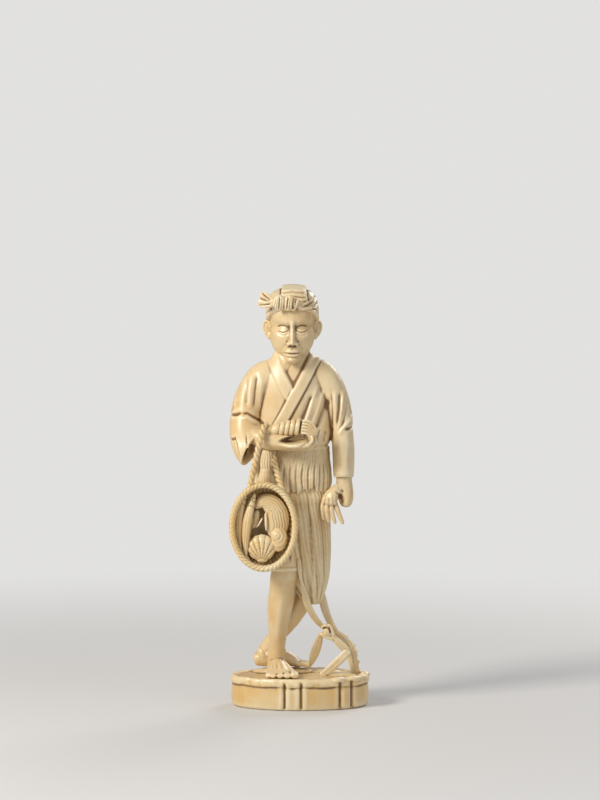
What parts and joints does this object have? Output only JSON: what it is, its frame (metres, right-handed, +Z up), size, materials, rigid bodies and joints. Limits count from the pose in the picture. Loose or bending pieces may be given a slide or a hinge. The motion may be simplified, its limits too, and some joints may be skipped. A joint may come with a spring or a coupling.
{
  "type": "okimono carving",
  "caption": "Free-standing carved figure of a fisherman with headcloth, straw skirt and a basket of catch on an oval plinth.",
  "frame": {"origin": "middle of the plinth's flat underside", "axes": "+Z up through the figure, +X to the viewer's right along the plinth's long axis, +Y away from the viewer to the figure's back"},
  "size_m": [0.08, 0.0574, 0.24],
  "materials": {
    "ivory_plinth": "polished old ivory, real density 1.85 g/cm3",
    "ivory_cloth": "polished old ivory",
    "ivory_skin": "polished old ivory",
    "ivory_straw": "scored old ivory",
    "ivory_basket": "carved old ivory",
    "ivory_catch": "polished old ivory"
  },
  "bodies": {
    "root": {"basket": "ivory_basket", "basket_bail": "ivory_basket", "basket_peg": "ivory_cloth", "basket_rim": "ivory_basket", "flat_fish": "ivory_catch", "gourd_flask": "ivory_cloth", "head": "ivory_skin", "headcloth": "ivory_cloth", "headcloth_knot": "ivory_cloth", "inner_fish": "ivory_catch", "jacket_body": "ivory_cloth", "knee_cloth": "ivory_cloth", "left_foot_peg": "ivory_cloth", "left_hand": "ivory_skin", "left_hip_peg": "ivory_cloth", "left_leg": "ivory_skin", "left_shoulder_peg": "ivory_cloth", "left_sleeve": "ivory_cloth", "left_wrist_peg": "ivory_cloth", "neck_peg": "ivory_cloth", "outer_fish": "ivory_catch", "plinth": "ivory_plinth", "prawn": "ivory_catch", "prawn_peg": "ivory_cloth", "right_foot_peg": "ivory_cloth", "right_hand": "ivory_skin", "right_knee_peg": "ivory_cloth", "right_leg": "ivory_skin", "right_shoulder_peg": "ivory_cloth", "right_sleeve": "ivory_cloth", "right_wrist_peg": "ivory_cloth", "round_shell": "ivory_catch", "sash_back_strap": "ivory_cloth", "sash_folded_tail": "ivory_cloth", "sash_front_strap": "ivory_cloth", "sash_knot": "ivory_cloth", "sash_leaf_tail": "ivory_cloth", "sash_left_tail": "ivory_cloth", "sash_peg": "ivory_cloth", "scallop_shell": "ivory_catch", "seam_peg": "ivory_cloth", "straw_skirt": "ivory_straw", "straw_waist_tier": "ivory_straw", "thigh_peg": "ivory_cloth", "waist_peg": "ivory_cloth"}
  },
  "joints": []
}
